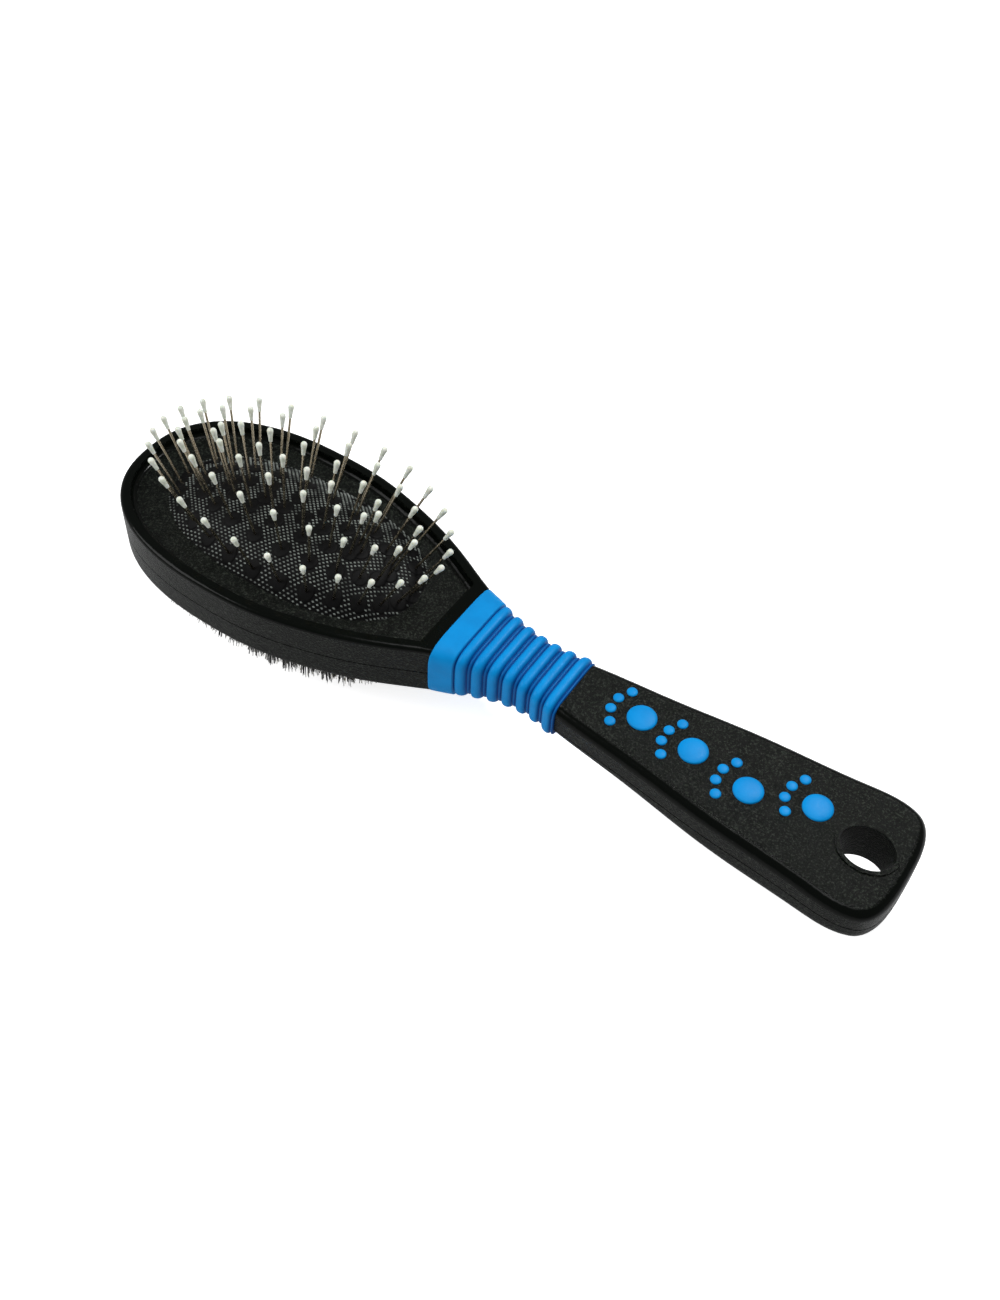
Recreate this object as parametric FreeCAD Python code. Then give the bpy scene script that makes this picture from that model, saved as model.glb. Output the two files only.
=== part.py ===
import FreeCAD, Part
import math
import os

# Double-sided pet brush: wire pins in an air cushion on top, bristle tufts underneath,
# two moulded half shells, a rubber grip sleeve and four rubber paw prints on the handle.
# Millimetres. +X runs from the head to the handle's end, +Z up, the tuft tips stand on Z = 0.

# ---- body -------------------------------------------------------------------------------
overall_length = 225.0
head_width = 58.0
head_front_length = 45.0        # from the tip to the widest place
head_length = 102.5             # from the tip to the sleeve
head_depth = 16.5               # from the lower rim to the upper rim
head_roundness = 2.35           # exponent of the head's superellipse
neck_width = 25.8               # shell width where the sleeve starts
waist_width = 15.6              # shell width at the thinnest place, under the sleeve
sleeve_end_width = 18.2         # shell width where the sleeve ends
handle_mid_width = 26.4
handle_end_width = 34.6
handle_cap_length = 10.0        # length of the rounded end of the handle
handle_cap_roundness = 3.0
waist_place = 0.72              # share of the sleeve's length
neck_taper = (0.34, 0.26)       # along the sleeve, and the share of the neck's width left there
handle_flare = (0.27, 0.62)     # along the handle, and the way from the sleeve to the middle width
handle_swell = (0.55, 0.35)     # along the handle, and the way from the middle to the end width
handle_tail = (0.88, 0.3)       # along the handle, and how much each side lies inside the end width
shoulder_shape = [(0.22, 0.96), (0.42, 0.82), (0.64, 0.58), (0.82, 0.31)]
wall = 2.8
deck_wall = 2.0
parting_depth = 8.8             # from the upper rim to the joint between the shells
handle_drop = 1.5               # handle's top below the rim, where the sleeve ends
handle_slope = 0.75             # degrees
waist_thickness = 10.6
belly_thickness = 12.4
end_thickness = 11.0
belly_place = 0.45              # share of the handle's length
end_sag = 0.6                   # underside at the very end, above the handle's own thickness
end_turn = 0.08                 # slope of the underside at the end
underside_lead = 4.0            # the underside starts to rise this far before the sleeve
throat_place = 0.45             # share of the sleeve's length
throat_depth = 2.35             # underside there, below the waist's underside
head_top_round = 1.2
head_bottom_round = 1.6
handle_top_round = 2.6
handle_bottom_round = 3.6
parting_groove = 0.3            # width and depth of the groove where the shells meet
bond_overlap = 0.5              # a boss or a post starts this far inside its wall

# ---- cushion side -----------------------------------------------------------------------
rim_band = 2.8                  # smooth raised band round the top of the head
dish_depth = 2.6
dish_round = 1.8
dish_end_gap = 3.5              # band left between the dish and the sleeve
cushion_front_gap = 13.0        # from the tip of the head
cushion_back_gap = 13.5         # from the sleeve
cushion_side_gap = 9.5
cushion_crown = 5.8             # top of the dome above the rim
dome_exponent = 3.0             # higher is flatter on top and steeper at the edge
dome_patch = (1.08, 1.12)       # how far the domed surface runs past the cushion's outline
rubber_thickness = 1.6
flange_thickness = 1.5
flange_reach = 3.5
chamber_depth = 1.5
chamber_side_gap = 0.5

# ---- pins -------------------------------------------------------------------------------
pin_length = 17.0               # from the rubber's surface to the tip
wire_diameter = 0.65
pin_head_diameter = 2.4
pin_head_thickness = 0.5
rubber_clearance = 0.3          # round each wire
pin_head_gap = 0.39             # between each head and the rubber
tip_diameter = 1.6
tip_length = 3.8
tip_neck_diameter = 0.95
tip_cover = 1.0                 # plastic beyond the wire's end
pin_fan_x = 0.235               # how far a tip stands out, as a share of its foot's place
pin_fan_y = 0.43
pin_side_set = 2.0              # all pins are bent over a little to one side
pin_rings = [(0.955, 0.88, 28), (0.784, 0.55, 22), (0.553, 0.256, 15), (0.245, 0.0, 4)]

# ---- bristle side -----------------------------------------------------------------------
tuft_free_length = 12.0
outer_tuft_shortfall = 2.6      # the dark outer tufts are this much shorter
tuft_root_diameter = 2.0
tuft_tip_diameter = 3.2
tuft_hole_depth = 3.4
anchor_length = 1.8
anchor_thickness = 0.3
anchor_height = 0.8
plate_front_gap = 5.0           # from the tip of the head
plate_back_gap = 10.5           # from the sleeve
plate_side_gap = 3.8
plate_thickness = 4.5
plate_recess = 0.8
plate_clearance = 0.1
shelf_thickness = 2.0
shelf_reach = 6.0
tuft_edge_gap = 3.4
tuft_pitch = 5.1
tuft_ring_step = 4.6
tuft_ring_count = 5

# ---- grip -------------------------------------------------------------------------------
sleeve_length = 34.0
sleeve_depth = 1.0              # sunk into the shells
sleeve_proud = 1.0              # crests stand this far above the shells
sleeve_valley = 0.2
sleeve_band = 6.0
rib_pitch = 4.0
rib_width = 2.6
rib_gap = 0.4                   # between the band and the first rib
sleeve_round = 3.0

# ---- paw prints -------------------------------------------------------------------------
paw_places = [(0.251, 1.2), (0.457, 0.1), (0.679, -2.0), (0.895, 3.2)]
paw_pad_radius = 3.7
paw_toe_radius = 1.35
paw_toe_reach = 7.8
paw_toe_angles = [138.0, 166.5, 193.5, 222.0]
paw_dome_height = 0.6
paw_web_thickness = 0.6
paw_web_width = 1.6

# ---- hang hole, posts -------------------------------------------------------------------
hole_length = 13.3
hole_width = 11.1
hole_from_end = 10.9
hole_wall = 2.0
lip_width = 1.0
lip_height = 0.4
front_post_gap = 6.3            # from the tip of the head
neck_post_gap = 5.0             # from the sleeve
neck_post_side = 8.0
handle_post_gap = 3.6           # from the sleeve
post_diameter = 2.6
post_clearance = 0.05
post_boss_diameter = 5.4
post_end_gap = 0.4

# ---- places worked out from the sizes ---------------------------------------------------
V = FreeCAD.Vector
tip_x = -overall_length / 2
end_x = overall_length / 2
widest_x = tip_x + head_front_length
sleeve_x0 = tip_x + head_length
sleeve_x1 = sleeve_x0 + sleeve_length
waist_x = sleeve_x0 + waist_place * sleeve_length
plate_face_z = tuft_free_length
low_rim_z = plate_face_z - plate_recess
rim_z = low_rim_z + head_depth
parting_z = rim_z - parting_depth
dish_floor_z = rim_z - dish_depth
deck_under_z = dish_floor_z - deck_wall
plate_top_z = plate_face_z + plate_thickness
shelf_top_z = plate_top_z + shelf_thickness
base_top_z = deck_under_z - flange_thickness
margin = 10.0
slope = math.tan(math.radians(handle_slope))
handle_run = end_x - sleeve_x1
hole_x = end_x - hole_from_end
hole_start_x = hole_x - hole_length / 2
cushion_length = head_length - cushion_front_gap - cushion_back_gap
cushion_width = head_width - 2 * cushion_side_gap
cushion_x = tip_x + cushion_front_gap + cushion_length / 2
plate_length = head_length - plate_front_gap - plate_back_gap
plate_width = head_width - 2 * plate_side_gap
plate_x = tip_x + plate_front_gap + plate_length / 2
rib_count = int((sleeve_length - sleeve_band) / rib_pitch)


def superellipse(length, width, power, centre_x, steps, start=0.0, stop=360.0):
    """Points of a rounded oval from one angle to another, anticlockwise."""
    points = []
    for step in range(steps):
        angle = math.radians(start + (stop - start) * step / steps)
        along = math.copysign(abs(math.cos(angle)) ** (2 / power), math.cos(angle))
        across = math.copysign(abs(math.sin(angle)) ** (2 / power), math.sin(angle))
        points.append(V(centre_x + along * length / 2, across * width / 2, 0))
    return points


def between(low, high, share):
    return low + (high - low) * share


def body_outline():
    """Plan of the shells, anticlockwise from the middle of the handle's end."""
    half = superellipse(2 * handle_cap_length, handle_end_width, handle_cap_roundness,
                        end_x - handle_cap_length, 8, 0, 86)
    straight = handle_run - handle_cap_length
    half.append(V(sleeve_x1 + handle_tail[0] * straight, handle_end_width / 2 - handle_tail[1], 0))
    swell = between(handle_mid_width, handle_end_width, handle_swell[1])
    half.append(V(sleeve_x1 + handle_swell[0] * straight, swell / 2, 0))
    flare = between(sleeve_end_width, handle_mid_width, handle_flare[1])
    half.append(V(sleeve_x1 + handle_flare[0] * straight, flare / 2, 0))
    half.append(V(sleeve_x1, sleeve_end_width / 2, 0))
    half.append(V(waist_x, waist_width / 2, 0))
    taper = between(waist_width, neck_width, neck_taper[1])
    half.append(V(sleeve_x0 + neck_taper[0] * sleeve_length, taper / 2, 0))
    half.append(V(sleeve_x0, neck_width / 2, 0))
    for along, share in reversed(shoulder_shape):
        x = between(widest_x, sleeve_x0, along)
        half.append(V(x, between(neck_width, head_width, share) / 2, 0))
    half += superellipse(2 * head_front_length, head_width, head_roundness, widest_x, 9, 90, 180)
    other = [V(p.x, -p.y, 0) for p in reversed(half[1:])]
    return half + [V(tip_x, 0, 0)] + other


def grown(points, grow):
    """The same points moved outwards by grow."""
    moved = []
    count = len(points)
    for index, point in enumerate(points):
        along = points[(index + 1) % count] - points[index - 1]
        outward = V(along.y, -along.x, 0)
        outward.normalize()
        moved.append(point + outward * grow)
    return moved


def ring_wire(points, z=0.0):
    curve = Part.BSplineCurve()
    curve.interpolate(Points=[V(p.x, p.y, z) for p in points], PeriodicFlag=True)
    return Part.Wire(curve.toShape())


def prism(points, z0, z1):
    return Part.Face(ring_wire(points, z0)).extrude(V(0, 0, z1 - z0))


def oval(length, width, power, centre_x, z0, z1):
    return prism(superellipse(length, width, power, centre_x, 32), z0, z1)


def slab(x0, x1, z0=-margin, z1=rim_z + margin):
    return Part.makeBox(x1 - x0, head_width + 2 * margin, z1 - z0, V(x0, -head_width / 2 - margin, z0))


def handle_top(x):
    return rim_z - handle_drop - slope * (x - sleeve_x1)


def side_profile(grow):
    """Side view of the shells as a slab across the whole width."""
    top = [V(tip_x - margin, 0, rim_z + grow), V(sleeve_x0, 0, rim_z + grow)]
    top.append(V(sleeve_x1, 0, handle_top(sleeve_x1) + grow))
    top.append(V(end_x + margin, 0, handle_top(end_x + margin) + grow))
    low_start = V(sleeve_x0 - underside_lead, 0, low_rim_z - grow)
    under = [low_start]
    throat_z = rim_z - waist_thickness - throat_depth
    under.append(V(sleeve_x0 + throat_place * sleeve_length, 0, throat_z - grow))
    under.append(V(sleeve_x1, 0, handle_top(sleeve_x1) - waist_thickness - grow))
    belly_x = sleeve_x1 + belly_place * handle_run
    under.append(V(belly_x, 0, handle_top(belly_x) - belly_thickness - grow))
    under.append(V(end_x + margin, 0, handle_top(end_x) - end_thickness + end_sag - grow))
    curve = Part.BSplineCurve()
    curve.interpolate(Points=under, InitialTangent=V(1, 0, 0), FinalTangent=V(1, 0, end_turn))
    low_front = V(tip_x - margin, 0, low_rim_z - grow)
    edges = [Part.LineSegment(a, b).toShape() for a, b in zip(top, top[1:])]
    edges.append(Part.LineSegment(top[-1], under[-1]).toShape())
    edges.append(curve.toShape())
    edges.append(Part.LineSegment(low_start, low_front).toShape())
    edges.append(Part.LineSegment(low_front, top[0]).toShape())
    face = Part.Face(Part.Wire(Part.__sortEdges__(edges)))
    face.translate(V(0, -head_width, 0))
    return face.extrude(V(0, 2 * head_width, 0))


outline = body_outline()


def body(grow):
    return prism(grown(outline, grow), -margin, rim_z + margin).common(side_profile(grow))


def rounded(solid, x0, x1, top_round, bottom_round):
    """Cut to a length and round the long upper and lower edges."""
    piece = solid.common(slab(x0, x1))
    for low, high, radius in [(parting_z, rim_z + margin, top_round), (-margin, parting_z, bottom_round)]:
        edges = []
        for edge in piece.Edges:
            box = edge.BoundBox
            if box.XLength > 3 and box.ZMin > low and box.ZMax < high:
                edges.append(edge)
        piece = piece.makeFillet(radius, edges)
    return piece


def dome_height(x, y):
    """Height of the cushion's surface, from the dish floor at its edge to the crown."""
    along = abs(x - cushion_x) / (cushion_length / 2)
    across = abs(y) / (cushion_width / 2)
    reach = (along ** head_roundness + across ** head_roundness) ** (1 / head_roundness)
    return dish_floor_z + (rim_z + cushion_crown - dish_floor_z) * (1 - min(reach, 1.15) ** dome_exponent)


def dome_block(drop):
    """Everything below the cushion's domed surface, lowered by drop."""
    steps = 24
    reach_x = dome_patch[0] * cushion_length / 2
    reach_y = dome_patch[1] * cushion_width / 2
    rows = []
    for i in range(steps + 1):
        x = cushion_x - reach_x + 2 * reach_x * i / steps
        row = []
        for j in range(steps + 1):
            y = -reach_y + 2 * reach_y * j / steps
            row.append(V(x, y, dome_height(x, y) - drop))
        rows.append(row)
    surface = Part.BSplineSurface()
    surface.interpolate(rows)
    return surface.toShape().extrude(V(0, 0, -head_depth))


def round_bar(foot, direction, radius, length):
    return Part.makeCylinder(radius, length, foot, direction)


def pin_places():
    """For each ring, the foot on the rubber and the direction of every pin."""
    rings = []
    for length_share, width_share, count in pin_rings:
        length = length_share * cushion_length
        width = width_share * cushion_width
        ring = []
        for step in range(count):
            if width == 0:
                foot = V(cushion_x + length * (step / (count - 1) - 0.5), 0, 0)
            else:
                foot = superellipse(length, width, 2, cushion_x, count)[step]
            foot.z = dome_height(foot.x, foot.y)
            out_x = pin_fan_x * (foot.x - cushion_x)
            out_y = pin_fan_y * foot.y + pin_side_set
            direction = V(out_x, out_y, math.sqrt(pin_length ** 2 - out_x ** 2 - out_y ** 2))
            direction.normalize()
            ring.append((foot, direction))
        rings.append(ring)
    return rings


def save(name, shape):
    shape.exportStep("parts/" + name + ".step")


def make_shells():
    """The solid body, rounded outside, waisted under the sleeve, hollow, then parted."""
    whole = body(0)
    head = rounded(whole, tip_x - margin, sleeve_x0, head_top_round, head_bottom_round)
    handle = rounded(whole, sleeve_x1, end_x + margin, handle_top_round, handle_bottom_round)
    core = rounded(body(-sleeve_depth), sleeve_x0 - 1, sleeve_x1 + 1, sleeve_round, sleeve_round)
    outside = head.fuse([core, handle])

    inner = grown(outline, -wall)
    cavity = prism(inner, shelf_top_z, deck_under_z).common(slab(tip_x, sleeve_x0 + 1))
    cavity = cavity.fuse(body(-wall).common(slab(sleeve_x0, end_x)))
    hole_post = oval(hole_length + 2 * hole_wall, hole_width + 2 * hole_wall, 2, hole_x,
                     -margin, rim_z + margin)
    cavity = cavity.cut(hole_post)

    dish_outline = grown(outline, -rim_band)
    dish = prism(dish_outline, dish_floor_z, rim_z + margin).common(slab(tip_x, sleeve_x0 - dish_end_gap))
    floor_edges = [e for e in dish.Edges if e.BoundBox.ZMax < dish_floor_z + 0.01]
    dish = dish.makeFillet(dish_round, floor_edges)
    mouth = oval(cushion_length, cushion_width, head_roundness, cushion_x, deck_under_z - 1, rim_z)

    plate_seat = oval(plate_length, plate_width, head_roundness, plate_x, -margin, plate_top_z)
    window = oval(plate_length - 2 * shelf_reach, plate_width - 2 * shelf_reach, head_roundness,
                  plate_x, plate_top_z - 1, shelf_top_z + 1)
    hole = oval(hole_length, hole_width, 2, hole_x, -margin, rim_z + margin)
    lip = oval(hole_length + 2 * lip_width, hole_width + 2 * lip_width, 2, hole_x,
               parting_z, rim_z + margin)
    lip = lip.common(body(lip_height))

    hollow = outside.cut([cavity, dish, mouth, plate_seat, window]).fuse(lip).cut(hole)
    groove = slab(tip_x - margin, end_x + margin,
                  parting_z - parting_groove / 2, parting_z + parting_groove / 2)
    hollow = hollow.cut(groove.cut(body(-parting_groove)))
    upper = hollow.common(slab(tip_x - margin, end_x + margin, parting_z, rim_z + margin))
    lower = hollow.common(slab(tip_x - margin, end_x + margin, -margin, parting_z))

    for x, y in post_places():
        in_head = x < sleeve_x0
        roof = deck_under_z if in_head else handle_top(x) - wall
        floor = shelf_top_z if in_head else low_rim_z
        boss = Part.makeCylinder(post_boss_diameter / 2, roof + bond_overlap - parting_z, V(x, y, parting_z))
        bore = Part.makeCylinder(post_diameter / 2 + post_clearance, roof - low_rim_z, V(x, y, low_rim_z))
        post = Part.makeCylinder(post_diameter / 2, roof - post_end_gap - floor + bond_overlap,
                                 V(x, y, floor - bond_overlap))
        if not in_head:
            post = post.common(outside)
        upper = upper.fuse(boss).cut(bore)
        lower = lower.fuse(post)
    return upper, lower, core


def post_places():
    neck_x = sleeve_x0 - neck_post_gap
    return [(tip_x + front_post_gap, 0), (neck_x, neck_post_side), (neck_x, -neck_post_side),
            (sleeve_x1 + handle_post_gap, 0)]


def make_sleeve(core):
    """Moulded rubber sleeve: a plain band, then ribs, gripping the waist of the shells."""
    crest = rounded(body(sleeve_proud), sleeve_x0, sleeve_x1, sleeve_round + 1, sleeve_round + 1)
    valley = rounded(body(sleeve_valley), sleeve_x0, sleeve_x1, sleeve_round, sleeve_round)
    rings = [crest.common(slab(sleeve_x0, sleeve_x0 + sleeve_band))]
    for rib in range(rib_count):
        start = sleeve_x0 + sleeve_band + rib_gap + rib * rib_pitch
        rings.append(crest.common(slab(start, start + rib_width)))
    return valley.fuse(rings).cut(core)


def paw_shapes(x, y):
    """One paw: a domed pad and four domed toes on posts through the shell, joined by webs inside."""
    top = handle_top(x)
    spots = [(x, y, paw_pad_radius)]
    for angle in paw_toe_angles:
        turn = math.radians(angle)
        spots.append((x + paw_toe_reach * math.cos(turn), y + paw_toe_reach * math.sin(turn), paw_toe_radius))
    under = top - wall - paw_web_thickness
    solids = []
    for sx, sy, radius in spots:
        tall = handle_top(sx) - under
        post = Part.makeCylinder(radius, tall, V(sx, sy, under))
        ball = (radius ** 2 + paw_dome_height ** 2) / (2 * paw_dome_height)
        cap = Part.makeSphere(ball, V(sx, sy, handle_top(sx) + paw_dome_height - ball))
        dome = cap.common(Part.makeCylinder(radius, 2 * paw_dome_height, V(sx, sy, handle_top(sx) - 0.1)))
        solids.append(post.fuse(dome))
    for sx, sy, radius in spots[1:]:
        run = math.hypot(sx - x, sy - y)
        web = Part.makeBox(run, paw_web_width, paw_web_thickness, V(0, -paw_web_width / 2, 0))
        web.rotate(V(0, 0, 0), V(0, 0, 1), math.degrees(math.atan2(sy - y, sx - x)))
        web.translate(V(x, y, under))
        solids.append(web)
    return solids[0].fuse(solids[1:]).removeSplitter()


def make_cushion(pins):
    flange = oval(cushion_length + 2 * flange_reach, cushion_width + 2 * flange_reach, head_roundness,
                  cushion_x, base_top_z, deck_under_z)
    crown = oval(cushion_length, cushion_width, head_roundness, cushion_x, base_top_z, rim_z + margin)
    inside = oval(cushion_length - 2 * rubber_thickness, cushion_width - 2 * rubber_thickness, head_roundness,
                  cushion_x, base_top_z - 1, rim_z + margin)
    solid = flange.fuse(crown.common(dome_block(0)))
    solid = solid.cut(inside.common(dome_block(rubber_thickness)))
    holes = []
    for ring in pins:
        for foot, direction in ring:
            start = foot - direction * 3 * rubber_thickness
            hole_radius = wire_diameter / 2 + rubber_clearance
            holes.append(round_bar(start, direction, hole_radius, 5 * rubber_thickness))
    return solid.cut(holes)


def make_pin(foot, direction):
    head_top = rubber_thickness + pin_head_gap
    wire_length = head_top + pin_length - tip_cover
    wire = round_bar(foot - direction * head_top, direction, wire_diameter / 2, wire_length)
    head = round_bar(foot - direction * (head_top + pin_head_thickness), direction,
                     pin_head_diameter / 2, pin_head_thickness)
    return wire.fuse(head)


def make_tip(foot, direction):
    """Moulded plastic drop on the end of a wire."""
    neck = tip_neck_diameter / 2
    bulb = tip_diameter / 2
    shoulder = tip_length - bulb
    profile = [Part.LineSegment(V(wire_diameter / 2, 0, 0), V(neck, 0, 0)).toShape()]
    side = Part.BSplineCurve()
    side.interpolate(Points=[V(neck, 0, 0), V(0.8 * bulb, 0, 0.45 * tip_length), V(bulb, 0, shoulder)],
                     InitialTangent=V(0.1, 0, 1), FinalTangent=V(0, 0, 1))
    profile.append(side.toShape())
    middle = V(bulb * math.sqrt(0.5), 0, shoulder + bulb * math.sqrt(0.5))
    profile.append(Part.Arc(V(bulb, 0, shoulder), middle, V(0, 0, tip_length)).toShape())
    wire_top = tip_length - tip_cover
    profile.append(Part.LineSegment(V(0, 0, tip_length), V(0, 0, wire_top)).toShape())
    profile.append(Part.LineSegment(V(0, 0, wire_top), V(wire_diameter / 2, 0, wire_top)).toShape())
    profile.append(Part.LineSegment(V(wire_diameter / 2, 0, wire_top), V(wire_diameter / 2, 0, 0)).toShape())
    solid = Part.Face(Part.Wire(profile)).revolve(V(0, 0, 0), V(0, 0, 1), 360)
    turn = FreeCAD.Rotation(V(0, 0, 1), direction)
    solid.Placement = FreeCAD.Placement(foot + direction * (pin_length - tip_length), turn)
    return solid


def tuft_places():
    """Rings of tufts on the bristle plate, from the outside inwards."""
    rings = []
    for ring in range(tuft_ring_count):
        length = plate_length - 2 * (tuft_edge_gap + ring * tuft_ring_step)
        width = plate_width - 2 * (tuft_edge_gap + ring * tuft_ring_step)
        around = superellipse(length, width, head_roundness, plate_x, 360)
        runs = [(b - a).Length for a, b in zip(around, around[1:] + around[:1])]
        count = round(sum(runs) / tuft_pitch)
        step = sum(runs) / count
        places = []
        walked = 0.0
        for point, run in zip(around, runs):
            if walked >= len(places) * step - 0.001 and len(places) < count:
                places.append(point)
            walked += run
        rings.append(places)
    return rings


def make_tuft(x, y, free_length):
    root = Part.makeCylinder(tuft_root_diameter / 2, tuft_hole_depth - anchor_height, V(x, y, plate_face_z))
    fan = Part.makeCone(tuft_tip_diameter / 2, tuft_root_diameter / 2, free_length,
                        V(x, y, plate_face_z - free_length))
    return fan.fuse(root)


def make_anchor(x, y):
    low_z = plate_face_z + tuft_hole_depth - anchor_height
    corner = V(x - anchor_length / 2, y - anchor_thickness / 2, low_z)
    return Part.makeBox(anchor_length, anchor_thickness, anchor_height, corner)


def main():
    os.makedirs("parts", exist_ok=True)
    pins = pin_places()
    tufts = tuft_places()

    upper, lower, core = make_shells()
    save("grip_sleeve", make_sleeve(core))
    for number, (share, y) in enumerate(paw_places, 1):
        paw = paw_shapes(sleeve_x1 + share * (hole_start_x - sleeve_x1), y)
        upper = upper.cut(paw)
        save("paw_print_" + str(number), paw)
    save("upper_shell", upper)
    save("lower_shell", lower)

    save("pin_cushion", make_cushion(pins))
    base = oval(cushion_length + 2 * flange_reach, cushion_width + 2 * flange_reach, head_roundness,
                cushion_x, shelf_top_z, base_top_z)
    pocket = oval(cushion_length - 2 * chamber_side_gap, cushion_width - 2 * chamber_side_gap, head_roundness,
                  cushion_x, base_top_z - chamber_depth, base_top_z + 1)
    save("cushion_base", base.cut(pocket))
    for number, ring in enumerate(pins, 1):
        save("pin_ring_" + str(number), Part.makeCompound([make_pin(f, d) for f, d in ring]))
        save("pin_tips_" + str(number), Part.makeCompound([make_tip(f, d) for f, d in ring]))

    plate = oval(plate_length - 2 * plate_clearance, plate_width - 2 * plate_clearance, head_roundness,
                 plate_x, plate_face_z, plate_top_z)
    holes = []
    anchors = []
    for number, ring in enumerate(tufts, 1):
        free_length = tuft_free_length - (outer_tuft_shortfall if number == 1 else 0)
        bristles = [make_tuft(p.x, p.y, free_length) for p in ring]
        save("bristle_ring_" + str(number), Part.makeCompound(bristles))
        for place in ring:
            centre = V(place.x, place.y, plate_face_z)
            holes.append(Part.makeCylinder(tuft_root_diameter / 2, tuft_hole_depth, centre))
        anchors += [make_anchor(p.x, p.y) for p in ring]
    save("bristle_plate", plate.cut(holes))
    save("tuft_anchors", Part.makeCompound(anchors))


main()
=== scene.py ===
import math

import bpy
import numpy as np
from mathutils import Matrix, Vector


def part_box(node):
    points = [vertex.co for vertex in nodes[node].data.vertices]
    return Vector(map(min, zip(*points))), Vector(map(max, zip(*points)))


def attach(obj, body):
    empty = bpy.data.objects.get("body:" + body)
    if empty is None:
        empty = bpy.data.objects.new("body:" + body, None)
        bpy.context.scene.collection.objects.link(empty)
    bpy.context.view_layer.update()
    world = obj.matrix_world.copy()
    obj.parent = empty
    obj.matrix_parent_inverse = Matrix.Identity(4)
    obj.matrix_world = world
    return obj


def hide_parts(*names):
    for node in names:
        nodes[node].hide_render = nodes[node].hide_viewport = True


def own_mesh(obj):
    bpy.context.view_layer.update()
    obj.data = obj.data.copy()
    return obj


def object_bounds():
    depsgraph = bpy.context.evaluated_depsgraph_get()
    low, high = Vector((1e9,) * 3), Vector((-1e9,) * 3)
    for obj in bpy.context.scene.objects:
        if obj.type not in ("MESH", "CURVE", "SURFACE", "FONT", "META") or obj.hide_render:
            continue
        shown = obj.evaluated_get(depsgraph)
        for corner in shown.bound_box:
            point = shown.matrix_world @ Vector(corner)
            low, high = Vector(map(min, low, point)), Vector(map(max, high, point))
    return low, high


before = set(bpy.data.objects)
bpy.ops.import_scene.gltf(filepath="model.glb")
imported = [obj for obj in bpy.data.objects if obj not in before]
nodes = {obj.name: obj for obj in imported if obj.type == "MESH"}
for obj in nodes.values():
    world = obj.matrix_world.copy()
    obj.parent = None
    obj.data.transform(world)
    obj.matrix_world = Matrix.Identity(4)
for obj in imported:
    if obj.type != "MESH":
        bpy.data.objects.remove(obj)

cad_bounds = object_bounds()
scene = bpy.context.scene
scene.view_settings.view_transform = "Standard"
mm = 0.001

# ---- Studio: a pale floor under the bristle tips, a white surround, three soft lamps -----
# The floor is matt white card. The lamps are a small soft box behind the handle, which gives the
# plastic its sheen, a wide one at the front left for the pins and ribs, and one overhead.
camera_place = Vector((121.96, -199.02, 317.64)) * mm
camera_right = Vector((0.82993, 0.55654, 0.03842))
camera_up = Vector((-0.45688, 0.63856, 0.61927))
camera_back = camera_right.cross(camera_up)
camera_data = bpy.data.cameras.new("camera")
camera_data.lens = 42.1
camera_data.sensor_width = 36.0
camera_data.clip_start = 0.01
camera = bpy.data.objects.new("camera", camera_data)
turn = Matrix((camera_right, camera_up, camera_back)).transposed().to_4x4()
camera.matrix_world = Matrix.Translation(camera_place) @ turn
scene.collection.objects.link(camera)
scene.camera = camera


def soft_box(name, place, aim, size, watts):
    lamp = bpy.data.lights.new(name, "AREA")
    lamp.shape = "RECTANGLE"
    lamp.size, lamp.size_y = size
    lamp.energy = watts
    holder = bpy.data.objects.new(name, lamp)
    holder.location = place
    holder.rotation_euler = (Vector(aim) - Vector(place)).to_track_quat("-Z", "Y").to_euler()
    scene.collection.objects.link(holder)


soft_box("back_box", (0.07, 0.25, 0.39), (0.09, 0, 0.02), (0.07, 0.05), 1.0)
soft_box("front_box", (-0.62, -0.42, 0.55), (-0.03, 0, 0.02), (0.50, 0.50), 3.6)
soft_box("top_box", (0.05, -0.05, 1.0), (0, 0, 0), (0.40, 0.40), 2.2)

world = bpy.data.worlds.new("surround")
scene.world = world
world.use_nodes = True
surround = world.node_tree.nodes["Background"]
ray = world.node_tree.nodes.new("ShaderNodeLightPath")
surround_mix = world.node_tree.nodes.new("ShaderNodeMix")
surround_mix.data_type = "RGBA"
surround_mix.inputs["A"].default_value = (0.30, 0.305, 0.31, 1)
surround_mix.inputs["B"].default_value = (1, 1, 1, 1)
world.node_tree.links.new(ray.outputs["Is Camera Ray"], surround_mix.inputs["Factor"])
world.node_tree.links.new(surround_mix.outputs["Result"], surround.inputs["Color"])

floor_reach = 3.0
bpy.ops.mesh.primitive_plane_add(size=2 * floor_reach, location=(0, 0, cad_bounds[0][2] - 0.05 * mm))
floor = bpy.context.object
floor.name = "floor"
card = bpy.data.materials.new("white_card")
card.use_nodes = True
card_nodes = card.node_tree.nodes
card_links = card.node_tree.links
card_nodes["Principled BSDF"].inputs["Base Color"].default_value = (0.86, 0.86, 0.86, 1)
card_nodes["Principled BSDF"].inputs["Roughness"].default_value = 0.9
card_nodes["Principled BSDF"].inputs["Emission Color"].default_value = (1, 1, 1, 1)
card_ray = card_nodes.new("ShaderNodeLightPath")
card_lift = card_nodes.new("ShaderNodeMath")
card_lift.operation = "MULTIPLY"
card_lift.inputs[1].default_value = 0.80
card_links.new(card_ray.outputs["Is Camera Ray"], card_lift.inputs[0])
card_links.new(card_lift.outputs[0], card_nodes["Principled BSDF"].inputs["Emission Strength"])
floor.data.materials.append(card)


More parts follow.
